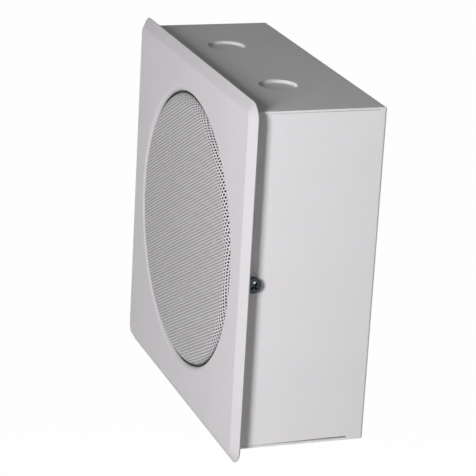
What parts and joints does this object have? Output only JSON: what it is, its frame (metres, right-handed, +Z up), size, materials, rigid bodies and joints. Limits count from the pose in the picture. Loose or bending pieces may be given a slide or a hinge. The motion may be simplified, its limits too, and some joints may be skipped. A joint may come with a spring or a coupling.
{
  "type": "wall speaker",
  "caption": "Surface-mount wall speaker: folded steel back box with knockouts, square bevelled baffle, round perforated grille and a cone driver inside.",
  "frame": {"origin": "the point of the back face that is behind the driver's axis; the back face lies on the wall", "axes": "+Z up, +Y into the wall, the front looks along -Y, +X to the right seen from the front"},
  "size_m": [0.21, 0.0822, 0.21],
  "materials": {
    "painted_box": "light grey satin powder coat",
    "painted_baffle": "light grey satin powder coat",
    "painted_grille": "light grey satin powder coat on perforated steel",
    "black_foam": "matte black foam",
    "zinc_steel": "bright zinc plate",
    "black_nickel": "polished black nickel",
    "frame_paint": "black enamel",
    "ferrite": "matte ground ferrite",
    "coil_paper": "varnished kraft paper",
    "copper_wire": "enamelled copper wire",
    "cone_paper": "black paper pulp",
    "treated_cloth": "doped cloth",
    "spider_cloth": "resin-dipped cloth",
    "phenolic": "brown laminate",
    "tinned_brass": "tinned",
    "rubber_bush": "matte black rubber"
  },
  "bodies": {
    "cabinet": {"enclosure": "painted_box", "baffle": "painted_baffle", "grille": "painted_grille", "grille_seal": "black_foam", "bracket_left": "zinc_steel", "bracket_right": "zinc_steel", "side_screws": "black_nickel", "side_nuts": "zinc_steel", "driver_studs": "zinc_steel", "driver_nuts": "zinc_steel", "driver_gasket": "black_foam", "basket": "frame_paint", "front_plate": "zinc_steel", "magnet": "ferrite", "yoke": "zinc_steel", "surround": "treated_cloth", "spider": "spider_cloth", "terminal_board": "phenolic", "terminal_lugs": "tinned_brass", "terminal_rivets": "tinned_brass", "cable_grommet": "rubber_bush"},
    "cone_assembly": {"cone": "cone_paper", "dust_cap": "cone_paper", "coil_former": "coil_paper", "voice_coil": "copper_wire"}
  },
  "joints": [
    {"name": "cone_travel", "type": "slide", "parent": "cabinet", "child": "cone_assembly", "axis": [0, -1, 0], "range_m": [-0.002, 0.002], "stiffness_N_per_m": 2500, "deforming": ["surround", "spider"]}
  ]
}
